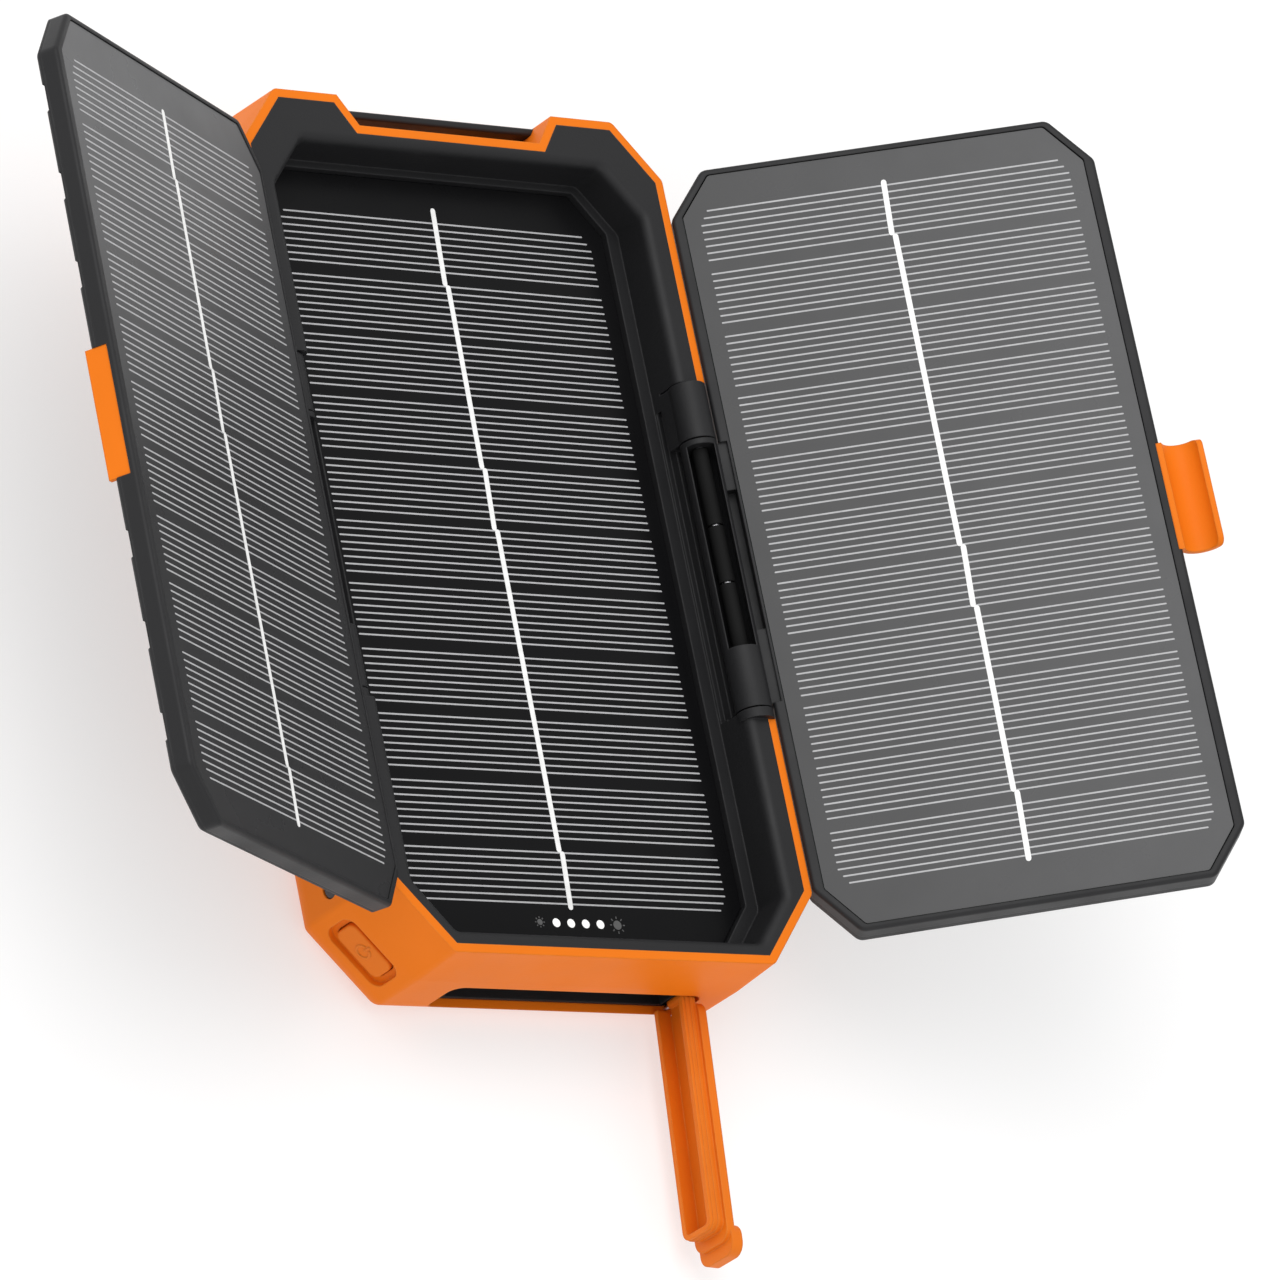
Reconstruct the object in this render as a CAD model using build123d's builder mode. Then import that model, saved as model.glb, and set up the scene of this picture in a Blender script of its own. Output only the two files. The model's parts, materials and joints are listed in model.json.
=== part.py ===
from build123d import *
from math import cos, radians, sin
import os

os.makedirs("parts", exist_ok=True)

# Fold-out solar power bank: an orange tub, a black bay frame and two hinged solar wings.
# Millimetres, +Z up. Origin: centre of the flat back face. +X is the right wing's side,
# +Y is the end with the strap bar, and the middle panel faces +Z.

# ---- case -----------------------------------------------------------------
RIM_TOP = 28.0
WAIST_Z = 16.0              # the sides lean in above this height
SWELL = 0.6                 # how far the lower sides stand outside the rim outline
SHOULDER = (36.3, 80.1)     # end of the straight +Y edge
UPPER_SIDE = (45.0, 69.4)
LOWER_SIDE = (45.0, -66.7)
FOOT = (33.7, -80.1)
NOTCH_FLOOR = (19.3, 74.5)  # half width and y of the strap notch floor
NOTCH_MOUTH = (24.5, 82.4)  # the notch's slanted sides carried past the +Y face
NOTCH_SLANT = (0.54, 1.2)   # sideways growth of floor and mouth per millimetre of offset
CORNER_ROUND = 1.5
BACK_ROUND = 5.5
FLOOR_Z = 2.4
CAVITY_INSET = 1.4
CASE_WALL = SWELL + CAVITY_INSET
CAVITY_TOP_Y = 72.3
LEDGE_Z = 14.0              # ledge that carries the gasket
LEDGE_INSET = 3.8
GASKET_Z = 15.0
GASKET_WIDTH = 2.0
FRAME_Z = 15.4
LIP = 1.6                   # width of the orange lip
BEYOND = 200.0              # oversize for cutting shapes that reach past the part

# ---- panel bay ------------------------------------------------------------
BAY_HALF = (39.15, 73.4)
BAY_Y = -2.5
BAY_CUT = (7.2, 8.9)
BAY_FLOOR_Z = 19.8
BAY_RIM_ROUND = 1.7
PANEL_Z = 18.5
PANEL_Y = -1.96
POCKET_GAP = 0.15

# ---- solar laminate -------------------------------------------------------
LAMINATE_HALF = (36.5, 71.3)
LAMINATE_CUT = (5.9, 7.4)
LAMINATE_ROUND = 0.8
BOARD = 1.0
CELL = 0.2
COVER = 0.4
LAMINATE = BOARD + CELL + COVER
CELL_SHIFT = 0.54           # the strips sit this far off the laminate's middle
FINGER_PITCH = 1.35
FINGER_STEPS = 7            # pitches from the first to the last finger of a strip
STRIP_GAPS = (2.0, 1.4, 1.75, 1.7, 1.6, 1.7, 2.0, 1.8, 2.0, 2.0)
STRIP_WIDTH = 69.2
STRIP_MARGIN = 0.5

# ---- wings ----------------------------------------------------------------
OPEN_ANGLE = 30.0           # wings rest this far above flat
AXIS_X = 42.15
WING_REACH = 42.15          # pin axis to the wing's middle
WING_Y = -2.3
TRAY_HALF = (38.6, 72.6)
TRAY_CUT = (7.0, 8.7)
TRAY_ROUND = 2.0
TRAY_LIP = 0.2              # tray edge above the cell cover
TRAY_RIM_ROUND = 0.7
NOTCH_EDGE = 37.1           # tray edge inside the hinge notch
NOTCH_SPAN = (-31.0, 18.5)
BACK_NOTCH_EXTRA = 0.35     # the back covers stand this much further from the pin
BACK_CHAMFER = 0.45
BACK_GROOVES = (-22.0, 22.0)
BACK_GROOVE = (3.0, 112.0, 1.2)        # width, length, corner radius
BACK_GROOVE_DEPTH = 0.4     # share of the cover's thickness
EDGE_STEPS = (-56.0, -40.0, -24.0, 24.0, 40.0, 56.0)   # grip steps along both side edges
EDGE_STEP = (5.0, 2.4, 1.5)            # length, width over both sides, depth as a multiple of a groove's

# ---- hinges ---------------------------------------------------------------
WEB_SPANS = ((-31.0, -17.0), (9.5, 18.5))
WEB_REACH = 5.3
BRIDGE_SPAN = (-18.0, 10.5)   # thin plate between the webs
BRIDGE_START = 1.6
KNUCKLE_SPAN = (-32.0, 18.8)
WINDOW_SPAN = (-20.6, 17.8)
CLIP_SPANS = ((-20.4, -8.1), (-7.7, 2.8), (3.2, 17.6))
CLIP_FOOT = 1.4
UPPER_EAR = (19.1, 29.7)
LOWER_EAR = (-34.0, -32.3)
EAR_BLOCK = (4.2, -0.9)     # width of the block under a fixed knuckle, and its offset from the pin
HINGE_ZONE = (-34.0, 30.0)
HINGE_ZONE_Z = 22.2
SHELL_ZONE_Z = 22.0
GROOVE = (40.2, 20.3, -32.0, 27.0)     # x to, z from, y from, y to
PIN_R = 1.0
PIN_SPAN = (-39.0, 29.5)
PIN_BORE = 1.05
RIGHT = dict(side=1, axis_z=26.2, rise=0.4, knuckle=3.3, clip=1.45, bore=2.6, window=4.9,
             web=(-2.8, -0.1), bridge=(-3.0, -2.2), edge=38.6, tray_back=-3.4, back=-5.5)
LEFT = dict(side=-1, axis_z=25.1, rise=3.8, knuckle=2.6, clip=1.45, bore=1.75, window=3.2,
            web=(0.0, 2.4), bridge=None, edge=37.7, tray_back=-2.8, back=-3.8)

# ---- latches --------------------------------------------------------------
RIGHT_LATCH_SPAN = (-14.2, 6.2)
LEFT_LATCH_SPAN = (-14.8, 8.3)
HOOK_CENTRE = (42.15, 0.7)
HOOK_INNER = 3.2
HOOK_OUTER = 4.2
HOOK_ROOT = -3.4
HOOK_SEAT = 37.9            # outer wall of the right tray behind the hook's root
TIP_ROUND = 1.5
LEFT_LATCH_EDGE = (37.45, 38.4)
LEFT_LATCH_HEIGHTS = (-5.0, -0.9)

# ---- ports ----------------------------------------------------------------
SLOT = (-24.2, 28.6, 3.6, 13.6)        # x from, x to, z from, z to
SLOT_ROUND = 2.5
LINER = (-26.2, 30.4, 2.4, 14.0)
LINER_FRONT_Y = -78.7
LINER_BACK_Y = -72.4
MOUTH = (-22.6, 26.3, 4.2, 12.9)
MOUTH_FLOOR_Y = -73.6
USB_A_X = (-13.0, 3.5)
USB_A = (13.2, 5.8, 14.0)              # width, height, length
USB_A_SHEET = 0.4
USB_A_BACK = 2.0                       # thickness of the closed rear end
USB_A_TONGUE = (11.0, 3.0, 4.8)        # width, heights of both faces above the socket's base
USB_C_X = 16.5
USB_C = (9.0, 3.3, 8.4)
USB_C_SHEET = 0.3
USB_C_ROUND = 1.5
USB_C_BACK = 1.5
USB_C_TONGUE = (6.6, 0.7)
PORT_GAP = 0.1
PCB = (30.0, -72.3, -46.0, 4.6, 6.2)   # half width, y from, y to, z from, z to
PCB_POSTS = ((-26.0, -50.0), (26.0, -50.0), (-26.0, -69.0), (26.0, -69.0))
POST_R = 2.0
PCB_CHIPS = (                          # x, y, width, depth, height
    (-20.0, -53.0, 6.0, 6.0, 1.2),
    (-6.0, -52.0, 8.0, 7.0, 4.0),
    (8.0, -52.0, 5.0, 5.0, 1.0),
    (20.0, -53.0, 7.0, 5.0, 1.8),
)

# ---- port cover -----------------------------------------------------------
FLAP_AXIS = (27.4, -79.2)
FLAP_OPEN = 85.0
FLAP_Z = (3.8, 13.4)
FLAP_FACE = (-1.4, 0.2)                # outer and inner face, from the pivot
FLAP_SPAN = (1.9, 46.0)
FLAP_CORNER = 2.4
TAB_SPAN = (42.6, 48.4)                # finger lip at the free end
TAB_FACE = (-2.8, -0.6)
PLUG_SPAN = (1.3, 44.0)
PLUG_Z = (4.4, 12.7)
PLUG_DEPTH = 2.8
PLUG_WALL = 1.0
PLUG_ROUND = 1.9
PLUG_BEADS = ((0.7, 0.5), (1.7, 0.5))  # distance behind the flange, width of each sealing bead
PLUG_BEAD_HEIGHT = 0.12
FLAP_NECK = (0.0, 2.4)
FLAP_NECK_FACE = (-0.7, 0.2)
FLAP_KNUCKLE = 0.9
FLAP_KNUCKLE_Z = (5.6, 11.6)
FLAP_PIN = 0.45
FLAP_PIN_SPAN = (2.6, 14.6)

# ---- power button and torch ------------------------------------------------
CHAMFER_MIDDLE = (-39.35, -73.4)
CHAMFER_NORMAL = (-0.7644, -0.6446)
BUTTON_Z = 10.5
BUTTON = (10.4, 5.5, 1.5)              # length, height, corner radius
BUTTON_HOLE = (10.8, 5.9, 1.6)
BUTTON_RECESS = (13.2, 7.7, 2.2)
BUTTON_RECESS_DEPTH = 1.2
BUTTON_SUNK = 0.35                     # cap face below the case face
BUTTON_EDGE = 0.35
BUTTON_FLANGE = (12.4, 6.7, 0.8)
BUTTON_FLANGE_GAP = 0.15
MARK_RING = (1.5, 1.1)                 # outer and inner radius of the power mark
MARK_BAR = (0.4, 1.6, 1.2)             # width, length, distance from the ring's centre
MARK_BREAK = 0.9
MARK_HEIGHT = 0.15
SWITCH_DEPTH = 4.1                     # switch face below the case face
SWITCH = (6.2, 3.5)                    # square body's side, depth
SWITCH_STEM = (1.7, 0.35)              # radius, height
SWITCH_BOARD = (8.0, 11.2, -2.5)       # width, height, offset from the button
SWITCH_BOARD_THICKNESS = 1.0
TORCH_Y = -59.0
TORCH_Z = 12.8
TORCH = (12.0, 4.3)
LENS_SUNK = 0.15
LENS_THICKNESS = 1.3
LENS_EDGE = 0.4
TORCH_BOARD_X = (-43.5, -42.6)
TORCH_BOARD_HALF = 4.0
TORCH_BOARD_Z = (9.8, 13.9)
TORCH_LED = (1.1, 0.6, -43.7)          # radius, height, x

# ---- strap bar, screws, lights and cells --------------------------------------
BAR_HALF = 25.6
BAR_Y = (78.8, 80.3)
BAR_Z = (17.5, 22.5)
BAR_ROUND = 0.5
SCREWS = ((36.0, 66.0), (-36.0, 66.0), (36.0, -60.0), (-36.0, -60.0))
SCREW_SPLIT_Z = 10.0
SCREW_HEAD = (2.9, 0.4, 2.0)           # radius, z from, z to
SCREW_SHANK = 1.25
SCREW_TIP_Z = 13.6
SCREW_CROSS = (3.4, 0.8, 1.6)          # length, width, height of each bar of the driver recess
HEAD_GAP = 0.1
SHANK_GAP = 0.2
THREAD_GAP = 0.05
BOSS_R = 3.5
PILLAR_R = 3.0
LED_X = (-3.9, -0.8, 2.3, 5.4)
LED_Y = -70.1
LED_R = 0.8
CELL_PACK_X = (2.0, 38.0)
CELL_PACK_Y = (-42.0, 60.0)
CELL_PACK_TOP = 13.0
CELL_PACK_ROUND = 2.5


# ---- outlines ---------------------------------------------------------------
def case_outline(grow=0.0, soften=0.0):
    """The rim outline without the strap notch, moved out by grow."""
    half = [SHOULDER, UPPER_SIDE, LOWER_SIDE, FOOT]
    Polygon(*half, *[(-x, y) for x, y in reversed(half)], align=None)
    if grow:
        offset(amount=grow, kind=Kind.INTERSECTION, mode=Mode.REPLACE)
    if soften:
        fillet(vertices(), soften)


def notch_outline(grow, mode):
    """The strap notch in the +Y end, its floor and slanted sides moved out by grow."""
    floor = (NOTCH_FLOOR[0] + NOTCH_SLANT[0] * grow, NOTCH_FLOOR[1] - grow)
    mouth = (NOTCH_MOUTH[0] + NOTCH_SLANT[1] * grow, NOTCH_MOUTH[1])
    Polygon(floor, mouth, (-mouth[0], mouth[1]), (-floor[0], floor[1]), align=None, mode=mode)


def octagon(half, cut, soften=0.0):
    """Rectangle with cut corners, as the bay, trays and laminates have."""
    w, h = half
    quarter = [(w - cut[0], h), (w, h - cut[1]), (w, cut[1] - h), (w - cut[0], -h)]
    Polygon(*quarter, *[(-x, y) for x, y in reversed(quarter)], align=None)
    if soften:
        fillet(vertices(), soften)


def laminate_pocket():
    octagon([half + POCKET_GAP for half in LAMINATE_HALF], LAMINATE_CUT, LAMINATE_ROUND)


def block(low, high, mode=Mode.ADD):
    """Box between two opposite corners."""
    middle = [(a + b) / 2 for a, b in zip(low, high)]
    with Locations(tuple(middle)):
        Box(*[b - a for a, b in zip(low, high)], mode=mode)


# ---- working planes -----------------------------------------------------------
def wing_plane(wing, height):
    """Plane parallel to a wing, centred on it, at a height above its cell cover."""
    side = wing["side"]
    c, s = cos(radians(OPEN_ANGLE)), sin(radians(OPEN_ANGLE))
    out, up = (side * c, s), (-side * s, c)
    rise = wing["rise"] + height
    x = side * AXIS_X + WING_REACH * out[0] + rise * up[0]
    z = wing["axis_z"] + WING_REACH * out[1] + rise * up[1]
    return Plane(origin=(x, WING_Y, z), x_dir=(out[0], 0, out[1]), z_dir=(up[0], 0, up[1]))


def along(wing, y):
    """A world y as the second coordinate of the wing's plane."""
    return wing["side"] * (y - WING_Y)


def moving_section(wing, span):
    """Plane across the pin that turns with the wing; extruding fills the span along Y."""
    side = wing["side"]
    start = span[1] if side > 0 else span[0]
    c, s = cos(radians(OPEN_ANGLE)), sin(radians(OPEN_ANGLE))
    return Plane(origin=(side * AXIS_X, start, wing["axis_z"]), x_dir=(side * c, 0, s), z_dir=(0, -side, 0))


def fixed_section(wing, span):
    """Plane across the pin that stays with the case."""
    side = wing["side"]
    start = span[1] if side > 0 else span[0]
    return Plane(origin=(side * AXIS_X, start, wing["axis_z"]), x_dir=(side, 0, 0), z_dir=(0, -side, 0))


def length(span):
    return span[1] - span[0]


def button_plane(depth):
    """Plane on the cut corner by the power button, at a depth below the case face."""
    push = SWELL - depth
    x = CHAMFER_MIDDLE[0] + push * CHAMFER_NORMAL[0]
    y = CHAMFER_MIDDLE[1] + push * CHAMFER_NORMAL[1]
    return Plane(origin=(x, y, BUTTON_Z), x_dir=(-CHAMFER_NORMAL[1], CHAMFER_NORMAL[0], 0),
                 z_dir=(CHAMFER_NORMAL[0], CHAMFER_NORMAL[1], 0))


def torch_plane(depth):
    """Plane on the -X side by the torch, at a depth below the case face."""
    x = depth - UPPER_SIDE[0] - SWELL
    return Plane(origin=(x, TORCH_Y, TORCH_Z), x_dir=(0, -1, 0), z_dir=(-1, 0, 0))


# ---- case parts -----------------------------------------------------------------
def shell_tub():
    """Outer walls and floor, hollowed for the cells and the frame."""
    with BuildSketch() as profile:
        case_outline(SWELL, CORNER_ROUND)
    extrude(profile.sketch, amount=WAIST_Z)
    fillet(faces().sort_by(Axis.Z)[0].edges(), BACK_ROUND)
    with BuildSketch(Plane.XY.offset(WAIST_Z)) as waist:
        case_outline(SWELL, CORNER_ROUND)
    with BuildSketch(Plane.XY.offset(RIM_TOP)) as rim:
        case_outline(0.0, CORNER_ROUND)
    loft([waist.sketch, rim.sketch])
    with BuildSketch(Plane.XY.offset(FLOOR_Z)) as profile:
        case_outline(-CAVITY_INSET)
        with Locations((0, CAVITY_TOP_Y)):
            Rectangle(BEYOND, BEYOND, align=(Align.CENTER, Align.MAX), mode=Mode.INTERSECT)
    extrude(profile.sketch, amount=LEDGE_Z - FLOOR_Z, mode=Mode.SUBTRACT)
    with BuildSketch(Plane.XY.offset(LEDGE_Z)) as profile:
        case_outline(-LEDGE_INSET)
        with Locations((0, CAVITY_TOP_Y - CAVITY_INSET)):
            Rectangle(BEYOND, BEYOND, align=(Align.CENTER, Align.MAX), mode=Mode.INTERSECT)
    extrude(profile.sketch, amount=GASKET_Z - LEDGE_Z, mode=Mode.SUBTRACT)
    with BuildSketch(Plane.XY.offset(GASKET_Z)) as profile:
        frame_outline(LIP)
    extrude(profile.sketch, amount=RIM_TOP - GASKET_Z, mode=Mode.SUBTRACT)


def frame_outline(inset):
    """Case outline with its notch, drawn in by inset."""
    case_outline(-inset)
    notch_outline(inset, Mode.SUBTRACT)


def screw_hole(x, y, radius, low, high):
    with Locations((x, y, (low + high) / 2)):
        Cylinder(radius, high - low, mode=Mode.SUBTRACT)


def hinge_pockets(low_z):
    """Clear the rim beside both hinges so the wings can swing."""
    for side in (1, -1):
        near, far = sorted((side * BAY_HALF[0], side * (UPPER_SIDE[0] + 2)))
        block((near, HINGE_ZONE[0], low_z), (far, HINGE_ZONE[1], RIM_TOP + 1), Mode.SUBTRACT)


def slot_outline():
    """Port slot in the -Y face."""
    x0, x1, z0, z1 = SLOT
    with Locations(((x0 + x1) / 2, (z0 + z1) / 2)):
        RectangleRounded(x1 - x0, z1 - z0, SLOT_ROUND)


with BuildPart() as outer_shell:
    shell_tub()
    for x, y in SCREWS:
        with Locations((x, y, (FLOOR_Z + SCREW_SPLIT_Z) / 2)):
            Cylinder(BOSS_R, SCREW_SPLIT_Z - FLOOR_Z)
        screw_hole(x, y, SCREW_SHANK + SHANK_GAP, 0, SCREW_SPLIT_Z)
        screw_hole(x, y, SCREW_HEAD[0] + HEAD_GAP, -1, SCREW_HEAD[2])
    for x, y in PCB_POSTS:
        with Locations((x, y, (FLOOR_Z + PCB[3]) / 2)):
            Cylinder(POST_R, PCB[3] - FLOOR_Z)
    with BuildSketch():
        notch_outline(0.0, Mode.ADD)
    extrude(amount=RIM_TOP + 1, mode=Mode.SUBTRACT)
    hinge_pockets(SHELL_ZONE_Z)
    block((-BAR_HALF, BAR_Y[0], BAR_Z[0]), (BAR_HALF, BAR_Y[1], BAR_Z[1]), Mode.SUBTRACT)
    with BuildSketch(Plane(origin=(0, LINER_FRONT_Y, 0), x_dir=(1, 0, 0), z_dir=(0, -1, 0))):
        slot_outline()
    extrude(amount=4, mode=Mode.SUBTRACT)
    screw_hole(*FLAP_AXIS, FLAP_PIN, *FLAP_PIN_SPAN)
    with BuildSketch(button_plane(-1)):
        RectangleRounded(*BUTTON_RECESS)
    extrude(amount=-1 - BUTTON_RECESS_DEPTH, mode=Mode.SUBTRACT)
    with BuildSketch(button_plane(0)):
        RectangleRounded(*BUTTON_HOLE)
    extrude(amount=-CASE_WALL - 0.1, mode=Mode.SUBTRACT)
    with BuildSketch(torch_plane(-1)):
        SlotOverall(*TORCH)
    extrude(amount=-1 - CASE_WALL, mode=Mode.SUBTRACT)

with BuildPart() as case_gasket:
    with BuildSketch(Plane.XY.offset(GASKET_Z)):
        frame_outline(LIP + 0.1)
        offset(amount=-GASKET_WIDTH, kind=Kind.INTERSECTION, mode=Mode.SUBTRACT)
    extrude(amount=FRAME_Z - GASKET_Z)


def ear(wing, span):
    """Fixed hinge knuckle on the frame, with the block that carries it."""
    radius = wing["knuckle"]
    with BuildSketch(fixed_section(wing, span)) as profile:
        Circle(radius)
        drop = wing["axis_z"] - HINGE_ZONE_Z + 0.5
        with Locations((EAR_BLOCK[1], -drop)):
            Rectangle(EAR_BLOCK[0], drop, align=(Align.CENTER, Align.MIN))
    extrude(profile.sketch, amount=length(span))


def pin_bore(wing, span):
    with BuildSketch(fixed_section(wing, span)) as profile:
        Circle(PIN_BORE)
    extrude(profile.sketch, amount=length(span), mode=Mode.SUBTRACT)


with BuildPart() as bay_plate:
    with BuildSketch(Plane.XY.offset(FRAME_Z)):
        frame_outline(LIP)
    extrude(amount=PANEL_Z - LAMINATE - FRAME_Z)
    for x, y in SCREWS:
        with Locations((x, y, (SCREW_SPLIT_Z + FRAME_Z) / 2)):
            Cylinder(PILLAR_R, FRAME_Z - SCREW_SPLIT_Z)
        screw_hole(x, y, SCREW_SHANK + THREAD_GAP, SCREW_SPLIT_Z, SCREW_TIP_Z + 0.4)

with BuildPart() as top_frame:
    with BuildSketch(Plane.XY.offset(PANEL_Z - LAMINATE)):
        frame_outline(LIP)
    extrude(amount=RIM_TOP - PANEL_Z + LAMINATE)
    with BuildSketch(Plane.XY.offset(BAY_FLOOR_Z)):
        with Locations((0, BAY_Y)):
            octagon(BAY_HALF, BAY_CUT, TRAY_ROUND)
    extrude(amount=RIM_TOP - BAY_FLOOR_Z, mode=Mode.SUBTRACT)
    fillet(faces().sort_by(Axis.Z)[-1].inner_wires()[0].edges(), BAY_RIM_ROUND)
    with BuildSketch(Plane.XY.offset(PANEL_Z - LAMINATE)):
        with Locations((0, PANEL_Y)):
            laminate_pocket()
    extrude(amount=RIM_TOP, mode=Mode.SUBTRACT)
    hinge_pockets(HINGE_ZONE_Z)
    for near, far in ((-GROOVE[0], 0.1 - BAY_HALF[0]), (BAY_HALF[0] - 0.1, GROOVE[0])):
        block((near, GROOVE[2], GROOVE[1]), (far, GROOVE[3], HINGE_ZONE_Z + 0.1), Mode.SUBTRACT)
    for wing in (RIGHT, LEFT):
        ear(wing, UPPER_EAR)
        ear(wing, LOWER_EAR)
        pin_bore(wing, PIN_SPAN)

with BuildPart() as strap_bar:
    bar_start = (-BAR_HALF, sum(BAR_Y) / 2, sum(BAR_Z) / 2)
    with BuildSketch(Plane(origin=bar_start, x_dir=(0, 1, 0), z_dir=(1, 0, 0))):
        RectangleRounded(length(BAR_Y), length(BAR_Z), BAR_ROUND)
    extrude(amount=2 * BAR_HALF)

with BuildPart() as case_screws:
    for x, y in SCREWS:
        with Locations((x, y, (SCREW_HEAD[1] + SCREW_HEAD[2]) / 2)):
            Cylinder(SCREW_HEAD[0], SCREW_HEAD[2] - SCREW_HEAD[1])
        with Locations((x, y, (SCREW_HEAD[2] + SCREW_TIP_Z) / 2)):
            Cylinder(SCREW_SHANK, SCREW_TIP_Z - SCREW_HEAD[2])
        with Locations((x, y, SCREW_HEAD[1])):
            Box(SCREW_CROSS[0], SCREW_CROSS[1], SCREW_CROSS[2], mode=Mode.SUBTRACT)
            Box(SCREW_CROSS[1], SCREW_CROSS[0], SCREW_CROSS[2], mode=Mode.SUBTRACT)

# ---- ports, board and cells -------------------------------------------------------
def port_opening(x, size):
    """Clearance through the mouth's floor for one socket."""
    low = (x - size[0] / 2 - PORT_GAP, MOUTH_FLOOR_Y - 1, PCB[4] - PORT_GAP)
    high = (x + size[0] / 2 + PORT_GAP, LINER_BACK_Y + 1, PCB[4] + size[1] + PORT_GAP)
    block(low, high, Mode.SUBTRACT)


with BuildPart() as port_plate:
    block((LINER[0], LINER_FRONT_Y, LINER[2]), (LINER[1], LINER_BACK_Y, LINER[3]))
    block((MOUTH[0], LINER_FRONT_Y - 1, MOUTH[2]), (MOUTH[1], MOUTH_FLOOR_Y, MOUTH[3]), Mode.SUBTRACT)
    for x in USB_A_X:
        port_opening(x, USB_A)
    port_opening(USB_C_X, USB_C)
    screw_hole(*FLAP_AXIS, FLAP_KNUCKLE + 0.3, *SLOT[2:])

with BuildPart() as circuit_board:
    block((-PCB[0], PCB[1], PCB[3]), (PCB[0], PCB[2], PCB[4]))
    for x, y, width, depth, height in PCB_CHIPS:
        block((x - width / 2, y - depth / 2, PCB[4]), (x + width / 2, y + depth / 2, PCB[4] + height))

with BuildPart() as usb_a_ports:
    for x in USB_A_X:
        low = (x - USB_A[0] / 2, MOUTH_FLOOR_Y, PCB[4])
        high = (x + USB_A[0] / 2, MOUTH_FLOOR_Y + USB_A[2], PCB[4] + USB_A[1])
        block(low, high)
        inner_low = (low[0] + USB_A_SHEET, low[1] - 1, low[2] + USB_A_SHEET)
        inner_high = (high[0] - USB_A_SHEET, high[1] - USB_A_BACK, high[2] - USB_A_SHEET)
        block(inner_low, inner_high, Mode.SUBTRACT)
        half, under, over = USB_A_TONGUE[0] / 2, USB_A_TONGUE[1], USB_A_TONGUE[2]
        block((x - half, low[1] + 1, low[2] + under), (x + half, high[1] - 1, low[2] + over))

with BuildPart() as usb_c_port:
    socket = Plane(origin=(USB_C_X, MOUTH_FLOOR_Y, PCB[4] + USB_C[1] / 2), x_dir=(1, 0, 0), z_dir=(0, -1, 0))
    with BuildSketch(socket):
        RectangleRounded(USB_C[0], USB_C[1], USB_C_ROUND)
    extrude(amount=-USB_C[2])
    with BuildSketch(socket):
        RectangleRounded(USB_C[0] - 2 * USB_C_SHEET, USB_C[1] - 2 * USB_C_SHEET, USB_C_ROUND - USB_C_SHEET)
        Rectangle(*USB_C_TONGUE, mode=Mode.SUBTRACT)
    extrude(amount=USB_C_BACK - USB_C[2], mode=Mode.SUBTRACT)

with BuildPart() as battery_cells:
    for near, far in (CELL_PACK_X, (-CELL_PACK_X[1], -CELL_PACK_X[0])):
        block((near, CELL_PACK_Y[0], FLOOR_Z), (far, CELL_PACK_Y[1], CELL_PACK_TOP))
    fillet(edges().filter_by(Axis.Y), CELL_PACK_ROUND)

with BuildPart() as power_switch:
    with BuildSketch(button_plane(SWITCH_DEPTH)):
        Rectangle(SWITCH[0], SWITCH[0])
    extrude(amount=-SWITCH[1])
    with BuildSketch(button_plane(SWITCH_DEPTH + SWITCH[1])):
        with Locations((0, SWITCH_BOARD[2])):
            Rectangle(*SWITCH_BOARD[:2])
    extrude(amount=-SWITCH_BOARD_THICKNESS)
    with BuildSketch(button_plane(SWITCH_DEPTH)):
        Circle(SWITCH_STEM[0])
    extrude(amount=SWITCH_STEM[1])

with BuildPart() as torch_lens:
    with BuildSketch(torch_plane(LENS_SUNK)):
        SlotOverall(*TORCH)
    extrude(amount=-LENS_THICKNESS)
    fillet(faces().sort_by(Axis.X)[0].edges(), LENS_EDGE)

with BuildPart() as torch_led:
    block((TORCH_BOARD_X[0], TORCH_Y - TORCH_BOARD_HALF, TORCH_BOARD_Z[0]),
          (TORCH_BOARD_X[1], TORCH_Y + TORCH_BOARD_HALF, TORCH_BOARD_Z[1]))
    with Locations(Location((TORCH_LED[2], TORCH_Y, TORCH_Z - 1.0), (0, 90, 0))):
        Cylinder(TORCH_LED[0], TORCH_LED[1])

with BuildPart() as port_cover_anchor:
    with Locations((*FLAP_AXIS, sum(FLAP_PIN_SPAN) / 2)):
        Cylinder(FLAP_PIN, length(FLAP_PIN_SPAN))


# ---- solar laminates ----------------------------------------------------------------
def laminate_layer(plane, thickness):
    with BuildSketch(plane) as profile:
        octagon(LAMINATE_HALF, LAMINATE_CUT, LAMINATE_ROUND)
    extrude(profile.sketch, amount=thickness)


def cell_strips(plane, way):
    """Strips laid from one end of the laminate; way is the side of the middle that end lies on."""
    pitch = FINGER_PITCH
    steps = FINGER_STEPS * (len(STRIP_GAPS) + 1) + sum(STRIP_GAPS)
    top = steps * pitch / 2
    with BuildSketch(plane) as profile:
        for gap in (*STRIP_GAPS, 0.0):
            middle = top - FINGER_STEPS * pitch / 2
            with Locations((0, way * (middle - CELL_SHIFT))):
                Rectangle(STRIP_WIDTH, FINGER_STEPS * pitch + 2 * STRIP_MARGIN)
            top -= (FINGER_STEPS + gap) * pitch
    extrude(profile.sketch, amount=CELL)


def panel_plane(height):
    return Plane(origin=(0, PANEL_Y, PANEL_Z + height))


with BuildPart() as centre_panel_board:
    laminate_layer(panel_plane(-LAMINATE), BOARD)

with BuildPart() as centre_panel_cells:
    cell_strips(panel_plane(-CELL - COVER), 1)

with BuildPart() as centre_panel_cover:
    laminate_layer(panel_plane(-COVER), COVER)
    for x in LED_X:
        screw_hole(x, LED_Y, LED_R, PANEL_Z - COVER, PANEL_Z)

with BuildPart() as charge_leds:
    for x in LED_X:
        with Locations((x, LED_Y, PANEL_Z - (CELL + COVER) / 2)):
            Cylinder(LED_R, CELL + COVER)


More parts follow.
